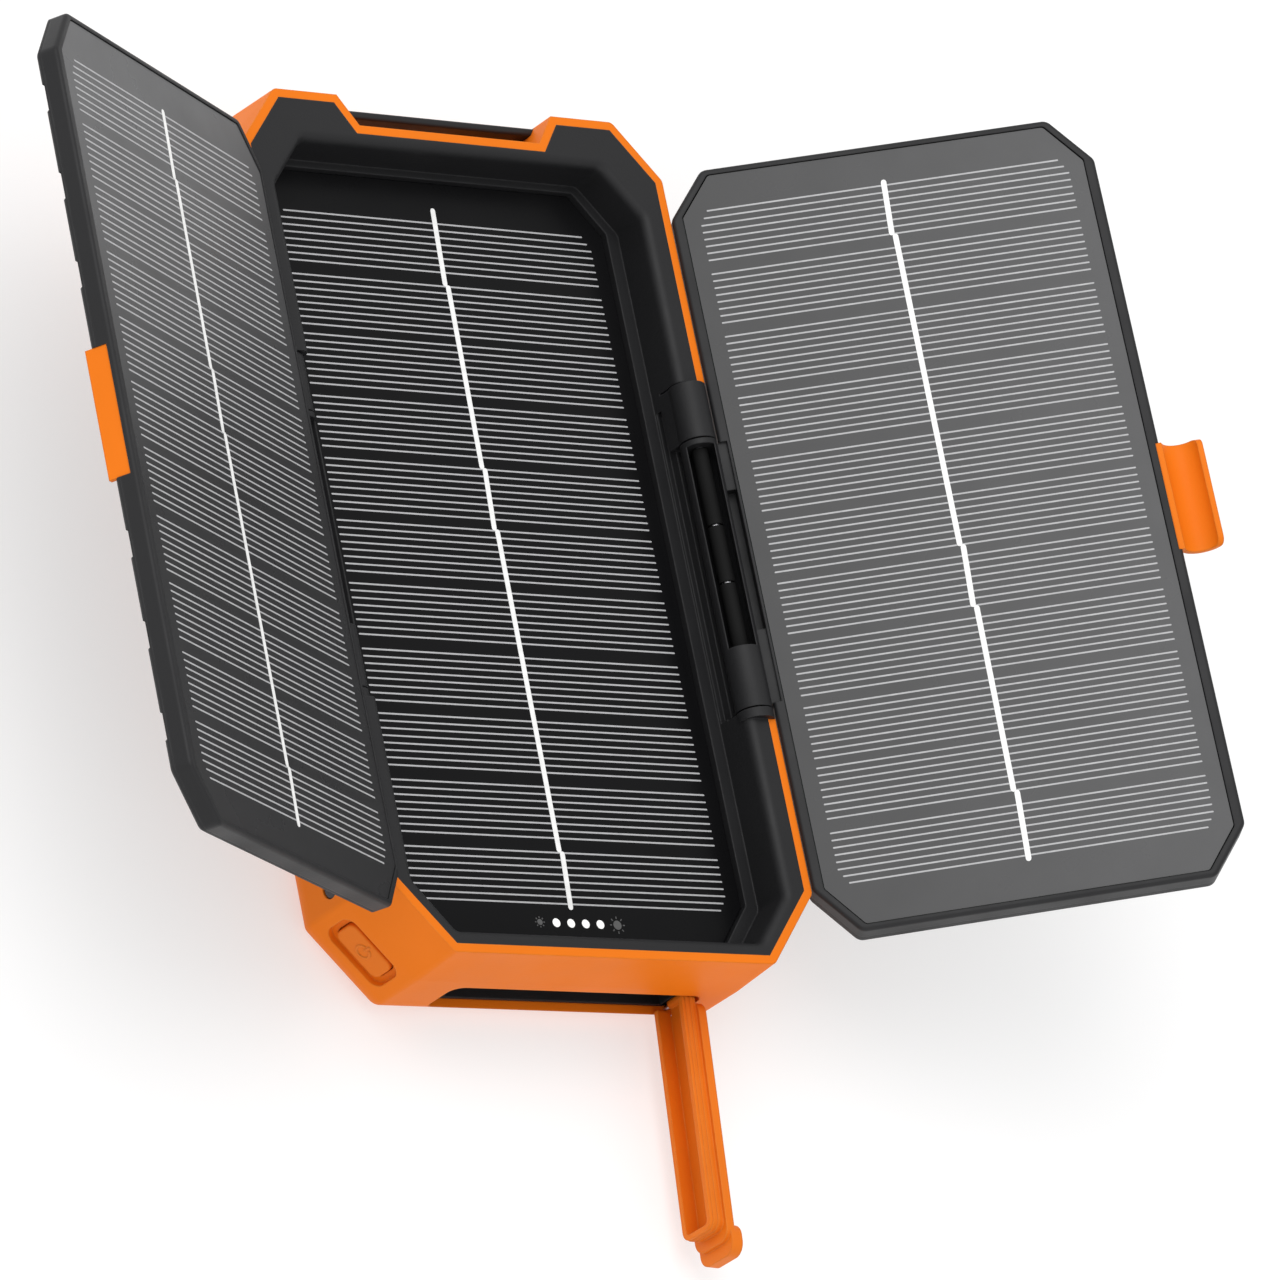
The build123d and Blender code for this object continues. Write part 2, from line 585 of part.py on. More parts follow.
# ---- wings ------------------------------------------------------------------------------
def wing_slab(wing, high, low):
    """Full outline of a wing, its inner edge trimmed to clear the rim."""
    with BuildSketch(wing_plane(wing, high)) as profile:
        octagon(TRAY_HALF, TRAY_CUT, TRAY_ROUND)
        with Locations((-wing["edge"], 0)):
            Rectangle(10, BEYOND, align=(Align.MAX, Align.CENTER), mode=Mode.SUBTRACT)
    extrude(profile.sketch, amount=low - high)


def face_at(wing, height):
    """The flat face of the part in hand that lies at a height on the wing."""
    plane = wing_plane(wing, height)
    return faces().sort_by(lambda f: abs((f.center() - plane.origin).dot(plane.z_dir)))[0]


def latch_span(wing):
    return RIGHT_LATCH_SPAN if wing["side"] > 0 else LEFT_LATCH_SPAN


def latch_seat(wing, high, low):
    """Recess in the outer edge that holds the latch."""
    span = latch_span(wing)
    wall = HOOK_SEAT if wing["side"] > 0 else LEFT_LATCH_EDGE[0]
    with BuildSketch(wing_plane(wing, high)) as profile:
        with Locations((wall, along(wing, sum(span) / 2))):
            Rectangle(10, length(span), align=(Align.MIN, Align.CENTER))
    extrude(profile.sketch, amount=low - high, mode=Mode.SUBTRACT)


def hinge_notch(wing, high, low, edge):
    """Gap in the inner edge beside the pin."""
    with BuildSketch(wing_plane(wing, high)) as profile:
        ends = sorted(along(wing, y) for y in NOTCH_SPAN)
        with Locations((-edge, sum(ends) / 2)):
            Rectangle(10, length(NOTCH_SPAN), align=(Align.MAX, Align.CENTER))
    extrude(profile.sketch, amount=low - high, mode=Mode.SUBTRACT)


def knuckle(wing):
    with BuildSketch(moving_section(wing, KNUCKLE_SPAN)) as profile:
        Circle(wing["knuckle"])
    extrude(profile.sketch, amount=length(KNUCKLE_SPAN))
    low, high = wing["web"]
    for span in WEB_SPANS:
        with BuildSketch(moving_section(wing, span)) as profile:
            with Locations((0, low)):
                Rectangle(WEB_REACH, high - low, align=(Align.MIN, Align.MIN))
        extrude(profile.sketch, amount=length(span))
    if wing["bridge"]:
        with BuildSketch(moving_section(wing, BRIDGE_SPAN)) as profile:
            with Locations((BRIDGE_START, wing["bridge"][0])):
                Rectangle(WEB_REACH - BRIDGE_START, length(wing["bridge"]), align=(Align.MIN, Align.MIN))
        extrude(profile.sketch, amount=length(BRIDGE_SPAN))
    with BuildSketch(moving_section(wing, KNUCKLE_SPAN)) as profile:
        Circle(PIN_BORE)
    extrude(profile.sketch, amount=length(KNUCKLE_SPAN), mode=Mode.SUBTRACT)
    with BuildSketch(moving_section(wing, WINDOW_SPAN)) as profile:
        Circle(wing["bore"])
        Rectangle(wing["window"], 5, align=(Align.CENTER, Align.MIN))
    extrude(profile.sketch, amount=length(WINDOW_SPAN), mode=Mode.SUBTRACT)


def wing_tray(wing):
    wing_slab(wing, TRAY_LIP, wing["tray_back"])
    fillet(face_at(wing, TRAY_LIP).edges(), TRAY_RIM_ROUND)
    with BuildSketch(wing_plane(wing, TRAY_LIP)) as profile:
        laminate_pocket()
    extrude(profile.sketch, amount=-TRAY_LIP - LAMINATE, mode=Mode.SUBTRACT)
    hinge_notch(wing, TRAY_LIP, wing["tray_back"], NOTCH_EDGE)
    latch_seat(wing, TRAY_LIP if wing["side"] > 0 else LEFT_LATCH_HEIGHTS[1], wing["tray_back"])
    knuckle(wing)


def wing_back(wing):
    """Cover closing the tray's back, with two long grooves and a grip recess."""
    wing_slab(wing, wing["tray_back"], wing["back"])
    chamfer(face_at(wing, wing["back"]).edges(), BACK_CHAMFER)
    hinge_notch(wing, wing["tray_back"], wing["back"], NOTCH_EDGE - BACK_NOTCH_EXTRA)
    latch_seat(wing, wing["tray_back"], wing["back"])
    depth = (wing["tray_back"] - wing["back"]) * BACK_GROOVE_DEPTH
    with BuildSketch(wing_plane(wing, wing["back"])) as profile:
        for u in BACK_GROOVES:
            with Locations((u, 0)):
                RectangleRounded(*BACK_GROOVE)
    extrude(profile.sketch, amount=depth, mode=Mode.SUBTRACT)
    with BuildSketch(wing_plane(wing, wing["back"])) as profile:
        for v in EDGE_STEPS:
            with Locations((0, v)):
                Rectangle(2 * TRAY_HALF[0] + 2, EDGE_STEP[0])
        Rectangle(2 * TRAY_HALF[0] - EDGE_STEP[1], BEYOND, mode=Mode.SUBTRACT)
    extrude(profile.sketch, amount=depth * EDGE_STEP[2], mode=Mode.SUBTRACT)


with BuildPart() as right_wing_tray:
    wing_tray(RIGHT)

with BuildPart() as left_wing_tray:
    wing_tray(LEFT)

with BuildPart() as right_wing_back:
    wing_back(RIGHT)

with BuildPart() as left_wing_back:
    wing_back(LEFT)

with BuildPart() as right_wing_board:
    laminate_layer(wing_plane(RIGHT, -LAMINATE), BOARD)

with BuildPart() as left_wing_board:
    laminate_layer(wing_plane(LEFT, -LAMINATE), BOARD)

with BuildPart() as right_wing_cells:
    cell_strips(wing_plane(RIGHT, -CELL - COVER), -1)

with BuildPart() as left_wing_cells:
    cell_strips(wing_plane(LEFT, -CELL - COVER), -1)

with BuildPart() as right_wing_cover:
    laminate_layer(wing_plane(RIGHT, -COVER), COVER)

with BuildPart() as left_wing_cover:
    laminate_layer(wing_plane(LEFT, -COVER), COVER)


def latch_plane(wing):
    """Plane across a latch, its origin on the wing's middle at the cell cover's height."""
    side = wing["side"]
    plane = wing_plane(wing, 0)
    start = max(side * y for y in latch_span(wing)) * side
    return Plane(origin=(plane.origin.X, start, plane.origin.Z), x_dir=plane.x_dir, z_dir=(0, -side, 0))


with BuildPart() as right_latch:
    with BuildSketch(latch_plane(RIGHT)):
        with Locations(HOOK_CENTRE):
            Circle(HOOK_OUTER)
            Circle(HOOK_INNER, mode=Mode.SUBTRACT)
        with Locations((HOOK_CENTRE[0], 0)):
            Rectangle(20, 20, align=(Align.CENTER, Align.MIN), mode=Mode.SUBTRACT)
        with Locations((HOOK_SEAT, 0)):
            Rectangle(5, 10, align=(Align.MAX, Align.CENTER), mode=Mode.SUBTRACT)
        with Locations((HOOK_SEAT, HOOK_ROOT)):
            Rectangle(HOOK_CENTRE[0] - HOOK_INNER - HOOK_SEAT, -HOOK_ROOT, align=(Align.MIN, Align.MIN))
    extrude(amount=length(RIGHT_LATCH_SPAN))
    tip_edges = edges().filter_by(lambda e: abs(e.length - HOOK_OUTER + HOOK_INNER) < 0.1)
    fillet(tip_edges.sort_by(Axis.X)[-2:], TIP_ROUND)

with BuildPart() as left_latch:
    with BuildSketch(latch_plane(LEFT)):
        with Locations((LEFT_LATCH_EDGE[0], LEFT_LATCH_HEIGHTS[0])):
            Rectangle(length(LEFT_LATCH_EDGE), length(LEFT_LATCH_HEIGHTS), align=(Align.MIN, Align.MIN))
    extrude(amount=length(LEFT_LATCH_SPAN))


# ---- hinge pins and friction clips ---------------------------------------------------------
def hinge_pin(wing):
    with BuildSketch(fixed_section(wing, PIN_SPAN)) as profile:
        Circle(PIN_R)
    extrude(profile.sketch, amount=length(PIN_SPAN))


def hinge_clips(wing):
    """Split sleeves footed in the wing's knuckle; their grip on the pin holds the wing where it is put."""
    half = CLIP_FOOT / 2
    drop = (wing["bore"] ** 2 - half ** 2) ** 0.5
    for span in CLIP_SPANS:
        with BuildSketch(moving_section(wing, span)) as profile:
            Circle(wing["clip"])
            Rectangle(CLIP_FOOT, drop, align=(Align.CENTER, Align.MAX))
            Circle(PIN_BORE, mode=Mode.SUBTRACT)
        extrude(profile.sketch, amount=length(span))


with BuildPart() as right_hinge_pin:
    hinge_pin(RIGHT)

with BuildPart() as left_hinge_pin:
    hinge_pin(LEFT)

with BuildPart() as right_hinge_clips:
    hinge_clips(RIGHT)

with BuildPart() as left_hinge_clips:
    hinge_clips(LEFT)


# ---- port cover and button --------------------------------------------------------------------
def flap_plane(face):
    """Plane on the open cover: X out from the pivot, Y up, Z towards the plug's side."""
    c, s = cos(radians(FLAP_OPEN)), sin(radians(FLAP_OPEN))
    origin = (FLAP_AXIS[0] - face * s, FLAP_AXIS[1] + face * c, sum(FLAP_Z) / 2)
    return Plane(origin=origin, x_dir=(-c, -s, 0), z_dir=(-s, c, 0))


def flap_slab(span, faces_at, heights, corner=0.0, mode=Mode.ADD):
    """Slab of the cover between two distances from the pivot and two faces."""
    with BuildSketch(flap_plane(faces_at[0])) as profile:
        with Locations((sum(span) / 2, sum(heights) / 2 - sum(FLAP_Z) / 2)):
            if corner:
                RectangleRounded(length(span), length(heights), corner)
            else:
                Rectangle(length(span), length(heights))
    extrude(profile.sketch, amount=length(faces_at), mode=mode)


def widened(span, amount):
    return (span[0] - amount, span[1] + amount)


def plug_slab(behind, width, grow, mode=Mode.ADD):
    """Slice of the plug, square at the pivot end and round-cornered at the free end."""
    free_end = PLUG_SPAN[1] + grow
    heights = widened(PLUG_Z, grow)
    layer = (FLAP_FACE[1] + behind, FLAP_FACE[1] + behind + width)
    flap_slab((PLUG_SPAN[1] / 2, free_end), layer, heights, PLUG_ROUND + grow, mode)
    flap_slab((PLUG_SPAN[0], PLUG_SPAN[1] - 5.0), layer, heights, mode=mode)


with BuildPart() as port_cover:
    flap_slab(FLAP_SPAN, FLAP_FACE, FLAP_Z, FLAP_CORNER)
    flap_slab(FLAP_NECK, FLAP_NECK_FACE, FLAP_KNUCKLE_Z)
    flap_slab(TAB_SPAN, TAB_FACE, FLAP_Z, FLAP_CORNER)
    plug_slab(0.0, PLUG_DEPTH, 0.0)
    for behind, width in PLUG_BEADS:
        plug_slab(behind, width, PLUG_BEAD_HEIGHT)
    plug_slab(0.0, PLUG_DEPTH + 1, -PLUG_WALL, Mode.SUBTRACT)
    with Locations((*FLAP_AXIS, sum(FLAP_KNUCKLE_Z) / 2)):
        Cylinder(FLAP_KNUCKLE, length(FLAP_KNUCKLE_Z))
        Cylinder(FLAP_PIN + 0.05, length(FLAP_KNUCKLE_Z), mode=Mode.SUBTRACT)

with BuildPart() as power_button:
    with BuildSketch(button_plane(BUTTON_SUNK)):
        RectangleRounded(*BUTTON)
    extrude(amount=BUTTON_SUNK - CASE_WALL - 2 * BUTTON_FLANGE_GAP)
    cap_middle = button_plane(BUTTON_SUNK).origin
    fillet(faces().sort_by(lambda f: (f.center() - cap_middle).length)[0].edges(), BUTTON_EDGE)
    with BuildSketch(button_plane(CASE_WALL + BUTTON_FLANGE_GAP)):
        Rectangle(*BUTTON_FLANGE[:2])
    extrude(amount=-BUTTON_FLANGE[2])
    with BuildSketch(button_plane(BUTTON_SUNK - MARK_HEIGHT)):
        Circle(MARK_RING[0])
        Circle(MARK_RING[1], mode=Mode.SUBTRACT)
        with Locations((0, MARK_BAR[2])):
            Rectangle(MARK_BREAK, MARK_BAR[1], mode=Mode.SUBTRACT)
            Rectangle(*MARK_BAR[:2])
    extrude(amount=-2 * MARK_HEIGHT)

PARTS = {
    "outer_shell": outer_shell,
    "case_gasket": case_gasket,
    "bay_plate": bay_plate,
    "top_frame": top_frame,
    "strap_bar": strap_bar,
    "case_screws": case_screws,
    "port_plate": port_plate,
    "circuit_board": circuit_board,
    "usb_a_ports": usb_a_ports,
    "usb_c_port": usb_c_port,
    "battery_cells": battery_cells,
    "power_switch": power_switch,
    "torch_lens": torch_lens,
    "torch_led": torch_led,
    "port_cover_anchor": port_cover_anchor,
    "centre_panel_board": centre_panel_board,
    "centre_panel_cells": centre_panel_cells,
    "centre_panel_cover": centre_panel_cover,
    "charge_leds": charge_leds,
    "right_wing_tray": right_wing_tray,
    "left_wing_tray": left_wing_tray,
    "right_wing_back": right_wing_back,
    "left_wing_back": left_wing_back,
    "right_wing_board": right_wing_board,
    "left_wing_board": left_wing_board,
    "right_wing_cells": right_wing_cells,
    "left_wing_cells": left_wing_cells,
    "right_wing_cover": right_wing_cover,
    "left_wing_cover": left_wing_cover,
    "right_latch": right_latch,
    "left_latch": left_latch,
    "right_hinge_pin": right_hinge_pin,
    "left_hinge_pin": left_hinge_pin,
    "right_hinge_clips": right_hinge_clips,
    "left_hinge_clips": left_hinge_clips,
    "port_cover": port_cover,
    "power_button": power_button,
}
for label, built in PARTS.items():
    built.part.label = label
    export_step(built.part, f"parts/{label}.step")
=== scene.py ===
import json
import math

import bmesh
import bpy
from mathutils import Matrix, Vector


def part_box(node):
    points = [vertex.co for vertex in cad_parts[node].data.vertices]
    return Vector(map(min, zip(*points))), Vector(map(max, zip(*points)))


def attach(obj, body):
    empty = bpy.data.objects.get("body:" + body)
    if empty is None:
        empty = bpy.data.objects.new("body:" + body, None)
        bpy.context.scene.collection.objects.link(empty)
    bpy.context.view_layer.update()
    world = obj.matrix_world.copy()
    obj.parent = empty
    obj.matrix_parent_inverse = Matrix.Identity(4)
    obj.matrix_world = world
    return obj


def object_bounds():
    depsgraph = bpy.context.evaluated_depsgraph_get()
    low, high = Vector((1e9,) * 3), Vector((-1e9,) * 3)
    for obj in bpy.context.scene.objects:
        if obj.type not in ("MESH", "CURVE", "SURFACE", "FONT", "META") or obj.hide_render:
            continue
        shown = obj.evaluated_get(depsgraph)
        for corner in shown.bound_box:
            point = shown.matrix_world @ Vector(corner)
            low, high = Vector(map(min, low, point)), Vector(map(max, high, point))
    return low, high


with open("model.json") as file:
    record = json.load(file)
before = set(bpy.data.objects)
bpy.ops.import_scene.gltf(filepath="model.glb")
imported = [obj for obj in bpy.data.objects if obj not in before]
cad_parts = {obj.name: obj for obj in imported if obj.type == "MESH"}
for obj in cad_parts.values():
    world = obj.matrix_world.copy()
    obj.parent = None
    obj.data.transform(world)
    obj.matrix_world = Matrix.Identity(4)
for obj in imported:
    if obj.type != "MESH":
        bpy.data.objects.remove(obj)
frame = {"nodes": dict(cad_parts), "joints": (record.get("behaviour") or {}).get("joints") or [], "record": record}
cad_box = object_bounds()

MM = 0.001

# ---- solar cells: a strip is a row of fingers, all sizes in mm ----------------
PITCH = 1.35
FINGERS = 8
GAPS = (2.0, 1.4, 1.75, 1.7, 1.6, 1.7, 2.0, 1.8, 2.0, 2.0)   # in pitches, between strips
FINGER_HALF = 33.6
FINGER_WIDTH = 0.3
FINGER_INDENT = (1.5, 0.7)     # the panel's outer fingers are this much shorter at each end
BUSBAR_WIDTH = 1.0
BUSBAR_OVERRUN = 1.1
CENTRE_OVERRUN = 3.0           # the centre panel's busbar starts further above its fingers
BUSBAR_OVERLAP = 0.3
BUSBAR_STEP = 0.002            # each later piece stands this much higher, so overlaps don't share a face
BUSBAR_PIECES = ((0, 0), (1, 3), (4, 4), (5, 9), (10, 10))   # first and last strip that each piece crosses
BUSBAR_LEAN = 0.28             # each piece starts this far to one side and ends as far to the other
PRINT_HEIGHT = 0.03            # printed lines stand this proud of the cover
SUN_ICONS = ((-7.4, 0.55), (9.0, 0.85))   # x and disc radius beside the charge lights
SUN_SIDES = 20
SUN_RAYS = 8
RAY_SPAN = (1.35, 1.85)        # start and end of a ray, in disc radii
RAY_HALF_WIDTH = 0.1

# ---- camera and light ----------------------------------------------------------
AIM = Vector((0.0201, -0.0198, 0.0265))
CAMERA_FORWARD = Vector((0.59210, 0.33705, -0.73200))
CAMERA_UP = Vector((-0.05065, 0.92210, 0.38361))
CAMERA_DISTANCE = 1.70
LENS = 276.05
SENSOR = 36.0
CLIP_START = 0.1
FLOOR_HALF = 6.0
FLOOR_DROP = 0.0002            # keeps the floor clear of the back face
FLOOR_TONES = ((0.50, 0.50, 0.50), (0.52, 0.52, 0.52))
FLOOR_GLOW = 0.5              # keeps the paper pale under the object
WORLD_LIGHT = 0.8
KEY_LIGHT = ((-0.35, 0.35, 0.88), 1.6, 1.3, 12.0)      # direction, distance, size, power
FRONT_LIGHT = ((-0.2, -1.0, 0.75), 1.8, 1.2, 4.0)


# ---- materials ------------------------------------------------------------------
class Graph:
    """Short calls for building a node material."""

    def __init__(self, name):
        self.material = bpy.data.materials.new(name)
        self.material.use_nodes = True
        self.tree = self.material.node_tree
        self.shader = self.tree.nodes["Principled BSDF"]
        self.place = self.node("ShaderNodeTexCoord").outputs["Object"]

    def node(self, kind, **settings):
        made = self.tree.nodes.new(kind)
        for key, value in settings.items():
            setattr(made, key, value)
        return made

    def join(self, source, target):
        self.tree.links.new(source, target)

    def noise(self, scale, detail=4.0, stretch=(1, 1, 1)):
        mapping = self.node("ShaderNodeMapping")
        mapping.inputs["Scale"].default_value = stretch
        self.join(self.place, mapping.inputs["Vector"])
        noise = self.node("ShaderNodeTexNoise")
        noise.inputs["Scale"].default_value = scale
        noise.inputs["Detail"].default_value = detail
        self.join(mapping.outputs["Vector"], noise.inputs["Vector"])
        return noise.outputs["Fac"]

    def spread(self, value, low, high, start=0.3, end=0.7):
        remap = self.node("ShaderNodeMapRange")
        for key, number in (("From Min", start), ("From Max", end), ("To Min", low), ("To Max", high)):
            remap.inputs[key].default_value = number
        self.join(value, remap.inputs["Value"])
        return remap.outputs["Result"]

    def mix(self, factor, first, second):
        mix = self.node("ShaderNodeMix", data_type="RGBA")
        self.join(factor, mix.inputs["Factor"])
        for key, colour in (("A", first), ("B", second)):
            socket = [s for s in mix.inputs if s.name == key and s.type == "RGBA"][0]
            if isinstance(colour, tuple):
                socket.default_value = (*colour, 1.0)
            else:
                self.join(colour, socket)
        return [s for s in mix.outputs if s.type == "RGBA"][0]

    def edges(self, radius):
        """Rounded normal, and a mask that is 1 along sharp edges."""
        bevel = self.node("ShaderNodeBevel", samples=4)
        bevel.inputs["Radius"].default_value = radius
        normal = self.node("ShaderNodeNewGeometry").outputs["Normal"]
        dot = self.node("ShaderNodeVectorMath", operation="DOT_PRODUCT")
        self.join(bevel.outputs["Normal"], dot.inputs[0])
        self.join(normal, dot.inputs[1])
        return bevel.outputs["Normal"], self.spread(dot.outputs["Value"], 1.0, 0.0, 0.75, 0.99)

    def bump(self, height, strength, distance, normal=None):
        bump = self.node("ShaderNodeBump")
        bump.inputs["Strength"].default_value = strength
        bump.inputs["Distance"].default_value = distance
        self.join(height, bump.inputs["Height"])
        if normal is not None:
            self.join(normal, bump.inputs["Normal"])
        self.join(bump.outputs["Normal"], self.shader.inputs["Normal"])


def moulded(name, colour, worn, rough, grain, depth, edge=0.0004, specular=0.4):
    """Moulded plastic: fine grain, slow colour drift and paler worn edges."""
    g = Graph(name)
    darker = tuple(c * 0.90 for c in colour)
    drift = g.spread(g.noise(28.0, 3.0), 0.0, 1.0)
    base = g.mix(drift, darker, colour)
    normal, mask = g.edges(edge)
    patchy = g.node("ShaderNodeMath", operation="MULTIPLY")
    g.join(mask, patchy.inputs[0])
    g.join(g.spread(g.noise(220.0), 0.15, 0.75), patchy.inputs[1])
    g.join(g.mix(patchy.outputs[0], base, worn), g.shader.inputs["Base Color"])
    g.join(g.spread(g.noise(90.0), rough - 0.06, rough + 0.06), g.shader.inputs["Roughness"])
    g.shader.inputs["Specular IOR Level"].default_value = specular
    g.bump(g.noise(grain, 2.0), depth, 0.00006, normal)
    return g.material


def metal(name, colour, rough, stretch=(1, 60, 60)):
    """Brushed metal: streaks along one axis in tone and roughness."""
    g = Graph(name)
    streak = g.noise(900.0, 3.0, stretch)
    g.join(g.mix(g.spread(streak, 0.0, 1.0), tuple(c * 0.8 for c in colour), colour),
           g.shader.inputs["Base Color"])
    g.join(g.spread(streak, rough - 0.08, rough + 0.08), g.shader.inputs["Roughness"])
    g.shader.inputs["Metallic"].default_value = 1.0
    g.bump(streak, 0.15, 0.00002)
    return g.material


def laminate_film(name, colour, painted_light_tone, direction, span, specular):
    """Dark film over silicon: a slow tone drift along a direction that paints in reflected light and shade, faint
    mottling and uneven gloss.
    """
    g = Graph(name)
    dot = g.node("ShaderNodeVectorMath", operation="DOT_PRODUCT")
    g.join(g.place, dot.inputs[0])
    dot.inputs[1].default_value = direction
    # Painted reflection and shade: the film turns lighter towards one end where studio light falls on it, not
    # through any change in the film itself.
    base = g.mix(g.spread(dot.outputs["Value"], 0.0, 1.0, *span), colour, painted_light_tone)
    mottled = g.mix(g.spread(g.noise(140.0, 5.0), 0.0, 0.12), base, tuple(c * 0.6 for c in colour))
    g.join(mottled, g.shader.inputs["Base Color"])
    g.join(g.spread(g.noise(60.0, 5.0), 0.24, 0.34), g.shader.inputs["Roughness"])
    g.shader.inputs["Specular IOR Level"].default_value = specular
    g.bump(g.noise(1500.0, 2.0), 0.05, 0.00003)
    return g.material


def printed_silver(name, colour):
    """Silver paste lines: slightly uneven, half matte."""
    g = Graph(name)
    g.join(g.mix(g.spread(g.noise(700.0), 0.0, 1.0), tuple(c * 0.85 for c in colour), colour),
           g.shader.inputs["Base Color"])
    g.join(g.spread(g.noise(400.0), 0.4, 0.6), g.shader.inputs["Roughness"])
    g.bump(g.noise(2500.0), 0.2, 0.00003)
    return g.material


def lit_lens(name, colour, glow):
    """Diffused light window with a faint glow."""
    g = Graph(name)
    tone = g.mix(g.spread(g.noise(800.0), 0.0, 1.0), tuple(c * 0.9 for c in colour), colour)
    g.join(tone, g.shader.inputs["Base Color"])
    g.shader.inputs["Emission Color"].default_value = (*colour, 1.0)
    g.shader.inputs["Emission Strength"].default_value = glow
    g.join(g.spread(g.noise(300.0), 0.25, 0.35), g.shader.inputs["Roughness"])
    return g.material


BLACK = (0.014, 0.014, 0.015)
BLACK_WORN = (0.050, 0.050, 0.052)
ORANGE = (0.82, 0.185, 0.008)
SOFT_ORANGE = (0.76, 0.172, 0.007)
ORANGE_WORN = (0.92, 0.32, 0.06)
MATERIALS = {
    "orange_shell": moulded("orange_shell", ORANGE, ORANGE_WORN, 0.48, 1900.0, 0.35, specular=0.10),
    "orange_rubber": moulded("orange_rubber", SOFT_ORANGE, ORANGE_WORN, 0.55, 2600.0, 0.25, specular=0.18),
    "black_rubber": moulded("black_rubber", (0.012, 0.012, 0.013), BLACK_WORN, 0.75, 2200.0, 0.4),
    "black_frame": moulded("black_frame", BLACK, BLACK_WORN, 0.50, 2000.0, 0.45, specular=0.28),
    "black_back": moulded("black_back", (0.016, 0.016, 0.017), BLACK_WORN, 0.58, 1100.0, 0.8, specular=0.3),
    "switch_body": moulded("switch_body", (0.03, 0.03, 0.03), BLACK_WORN, 0.6, 2500.0, 0.3),
    "board": moulded("board", (0.012, 0.07, 0.035), (0.05, 0.16, 0.09), 0.35, 900.0, 0.3),
    "lens": moulded("lens", (0.03, 0.03, 0.035), (0.08, 0.08, 0.09), 0.16, 300.0, 0.05),
    "solar_cell": moulded("solar_cell", (0.012, 0.013, 0.022), (0.03, 0.03, 0.04), 0.3, 600.0, 0.1),
    "steel": metal("steel", (0.62, 0.62, 0.64), 0.32),
    "port_metal": metal("port_metal", (0.72, 0.72, 0.74), 0.28),
    "pouch_foil": metal("pouch_foil", (0.66, 0.67, 0.69), 0.42, (1, 1, 1)),
    "led": lit_lens("led", (0.95, 0.95, 0.93), 0.25),
}
FILMS = {                      # tones at both ends of the painted light-and-shade drift, its direction and span in metres, gloss
    # Centre film is painted darkest of the three: painted shade of the recess it sits in.
    "centre_panel_cover": laminate_film("centre_film_painted_shade", (0.004, 0.004, 0.0045), (0.006, 0.006, 0.0065),
                                        (0, 1, 0), (-0.07, 0.07), 0.10),
    # Right film is painted lighter and brighter further out: painted reflection of the studio light.
    "right_wing_cover": laminate_film("right_film_painted_reflection", (0.050, 0.050, 0.051), (0.085, 0.085, 0.087),
                                      (1, 0, 0), (0.045, 0.115), 0.25),
    # Left film is painted lighter towards the top: painted reflection above and painted shade lower down.
    "left_wing_cover": laminate_film("left_film_painted_reflection", (0.032, 0.032, 0.033), (0.120, 0.120, 0.122),
                                     (-0.35, 0.94, 0), (0.02, 0.10), 0.12),
}
# Hinge clips get a darker, duller black than the frame: painted shade of the dark hinge window they sit in.
SHADED_SLEEVE = moulded("sleeve_painted_shade", (0.009, 0.009, 0.009), (0.018, 0.018, 0.018), 0.7, 2200.0, 0.3, specular=0.1)
OWN_LOOK = {"right_hinge_clips": SHADED_SLEEVE, "left_hinge_clips": SHADED_SLEEVE, **FILMS}
FINGER_SILVER = printed_silver("finger_silver", (0.46, 0.46, 0.47))
BUSBAR_SILVER = printed_silver("busbar_silver", (0.93, 0.93, 0.92))
ICON_INK = printed_silver("icon_ink", (0.10, 0.10, 0.10))

for entry in frame["record"]["subparts"]:
    shown = frame["nodes"][entry["node"]]
    material = OWN_LOOK.get(entry["node"]) or MATERIALS[entry["material_slot"]]
    shown.data.materials.clear()
    shown.data.materials.append(material)


# ---- panel frames -------------------------------------------------------------
def wing_axes(joint_name, side):
    """Directions out along a wing and out of its face, at rest."""
    joint = next(j for j in frame["joints"] if j["name"] == joint_name)
    angle = math.radians(-joint["range_deg"][0])
    return (Vector((side * math.cos(angle), 0, math.sin(angle))),
            Vector((-side * math.sin(angle), 0, math.cos(angle))))


def panel_matrix(cells, cover, out, normal):
    """Frame on a panel: origin amid its cells on the cover's face, X out along it, Z out of the face."""
    across = normal.cross(out)

    def span(node, direction):
        values = [v.co.dot(direction) for v in frame["nodes"][node].data.vertices]
        return min(values), max(values)

    u = sum(span(cells, out)) / 2
    v = sum(span(cells, across)) / 2
    w = span(cover, normal)[1]
    rotation = Matrix((out, across, normal)).transposed().to_4x4()
    return Matrix.Translation(out * u + across * v + normal * w) @ rotation


def new_piece(name, mesh, material, body):
    mesh.name = name
    mesh.materials.append(material)
    piece = bpy.data.objects.new(name, mesh)
    bpy.context.scene.collection.objects.link(piece)
    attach(piece, body)
    return piece


def prism(mesh, outline, low, high):
    """Closed solid with a flat outline, sizes in mm."""
    under = [mesh.verts.new((x * MM, y * MM, low * MM)) for x, y in outline]
    over = [mesh.verts.new((x * MM, y * MM, high * MM)) for x, y in outline]
    mesh.faces.new(list(reversed(under)))
    mesh.faces.new(over)
    for i in range(len(outline)):
        j = (i + 1) % len(outline)
        mesh.faces.new((under[i], under[j], over[j], over[i]))


def rounded_bar(x0, x1, y, width, steps=4):
    """Bar outline with round ends."""
    r = width / 2
    right = [(x1 - r + r * math.cos(a), y + r * math.sin(a))
             for a in (math.pi * (k / steps - 0.5) for k in range(steps + 1))]
    left = [(x0 + r + r * math.cos(a), y + r * math.sin(a))
            for a in (math.pi * (k / steps + 0.5) for k in range(steps + 1))]
    return right + left


